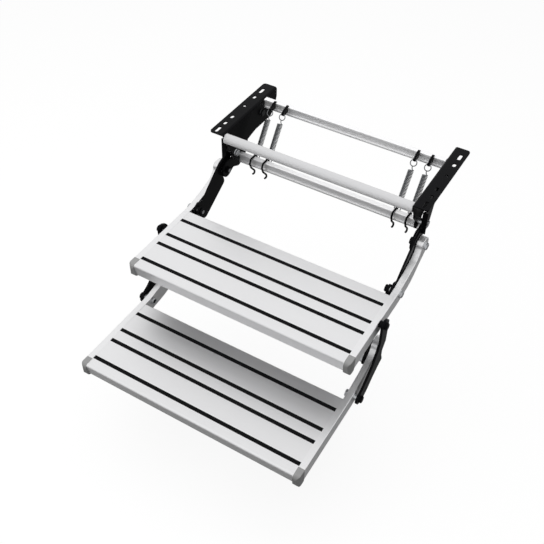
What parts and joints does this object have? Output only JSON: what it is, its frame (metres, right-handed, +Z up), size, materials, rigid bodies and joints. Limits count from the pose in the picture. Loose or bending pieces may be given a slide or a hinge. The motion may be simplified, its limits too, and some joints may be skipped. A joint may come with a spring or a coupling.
{
  "type": "caravan entry step",
  "caption": "Double folding entry step for a caravan: slotted chassis brackets, spring-held folding linkage and gripped aluminium treads.",
  "frame": {"origin": "midway between the two round locating holes, on the top faces of the bracket flanges", "axes": "+X across the step, +Y towards the vehicle, away from the person who climbs, +Z up"},
  "size_m": [0.6216, 0.8158, 0.3588],
  "materials": {
    "black_steel": "black powder coat, satin",
    "silver_aluminium": "natural anodised, satin",
    "grey_plastic": "moulded, fine grain",
    "black_rubber": "ribbed black grip strip",
    "zinc_steel": "zinc plated",
    "spring_steel": "dark oiled spring wire"
  },
  "bodies": {
    "bracket": {"left_bracket": "black_steel", "right_bracket": "black_steel", "front_tube": "silver_aluminium", "rear_rail": "silver_aluminium", "rear_rail_screws": "zinc_steel", "spring_straps": "black_steel", "leg_pivot_bolts": "zinc_steel", "leg_pivot_sleeves": "zinc_steel", "leg_pivot_nuts": "zinc_steel", "link_pivot_bolts": "zinc_steel", "link_pivot_washers": "zinc_steel", "link_pivot_nuts": "zinc_steel"},
    "legs": {"leg_left": "black_steel", "leg_right": "black_steel"},
    "links": {"upper_link_left": "black_steel", "upper_link_right": "black_steel", "spring_bar": "silver_aluminium", "spring_bar_screws": "zinc_steel", "bar_hooks": "black_steel"},
    "springs": {"spring_left_outer": "spring_steel", "spring_left_inner": "spring_steel", "spring_right_inner": "spring_steel", "spring_right_outer": "spring_steel"},
    "upper_step": {"upper_tread": "silver_aluminium", "upper_grip_strips": "black_rubber", "upper_arm_left": "silver_aluminium", "upper_arm_right": "silver_aluminium", "upper_end_cap_left": "grey_plastic", "upper_end_cap_right": "grey_plastic", "arm_link_bolts": "zinc_steel", "arm_link_sleeves": "zinc_steel", "arm_link_nuts": "black_steel", "arm_leg_bolts": "zinc_steel", "arm_leg_washers": "zinc_steel", "arm_leg_spacers": "zinc_steel", "arm_leg_nuts": "black_steel", "upper_drop_bolts": "black_steel", "upper_drop_spacers": "black_steel"},
    "inner_drop_links": {"inner_drop_link_left": "black_steel", "inner_drop_link_right": "black_steel"},
    "outer_drop_links": {"outer_drop_link_left": "black_steel", "outer_drop_link_right": "black_steel"},
    "lower_step": {"lower_tread": "silver_aluminium", "lower_grip_strips": "black_rubber", "lower_arm_left": "silver_aluminium", "lower_arm_right": "silver_aluminium", "lower_end_cap_left": "grey_plastic", "lower_end_cap_right": "grey_plastic", "lower_lug_left": "black_steel", "lower_lug_right": "black_steel", "lower_drop_bolts": "black_steel", "lower_drop_spacers": "zinc_steel", "lower_drop_nuts": "zinc_steel", "lug_bolts": "zinc_steel", "lug_spacers": "zinc_steel", "lug_nuts": "zinc_steel"}
  },
  "joints": [
    {"name": "upper_fold", "type": "hinge", "parent": "bracket", "child": "legs", "pos_m": [0, -0.082, -0.0858], "axis": [1, 0, 0], "range_deg": [0, 125]},
    {"name": "link_swing", "type": "hinge", "parent": "bracket", "child": "links", "pos_m": [0, 0.0423, -0.0352], "axis": [1, 0, 0], "range_deg": [0, 125]},
    {"name": "spring_swing", "type": "hinge", "parent": "bracket", "child": "springs", "pos_m": [0, 0.0358, -0.0132], "axis": [1, 0, 0], "range_deg": [0, 106.2], "deforming": ["spring_left_outer", "spring_left_inner", "spring_right_inner", "spring_right_outer"]},
    {"name": "upper_level", "type": "hinge", "parent": "legs", "child": "upper_step", "pos_m": [0, -0.236, -0.176], "axis": [1, 0, 0], "range_deg": [-125, 0]},
    {"name": "lower_fold", "type": "hinge", "parent": "upper_step", "child": "inner_drop_links", "pos_m": [0, -0.236, -0.176], "axis": [1, 0, 0], "range_deg": [0, 100]},
    {"name": "outer_drop_swing", "type": "hinge", "parent": "upper_step", "child": "outer_drop_links", "pos_m": [0, -0.346, -0.1727], "axis": [1, 0, 0], "range_deg": [0, 100]},
    {"name": "lower_level", "type": "hinge", "parent": "inner_drop_links", "child": "lower_step", "pos_m": [0, -0.3303, -0.3317], "axis": [1, 0, 0], "range_deg": [-100, 0]}
  ],
  "couplings": [
    {"joint": "link_swing", "follows": "upper_fold", "ratio": 1},
    {"joint": "spring_swing", "follows": "upper_fold", "ratio": 0.849},
    {"joint": "upper_level", "follows": "upper_fold", "ratio": -1},
    {"joint": "outer_drop_swing", "follows": "lower_fold", "ratio": 1},
    {"joint": "lower_level", "follows": "lower_fold", "ratio": -1}
  ]
}
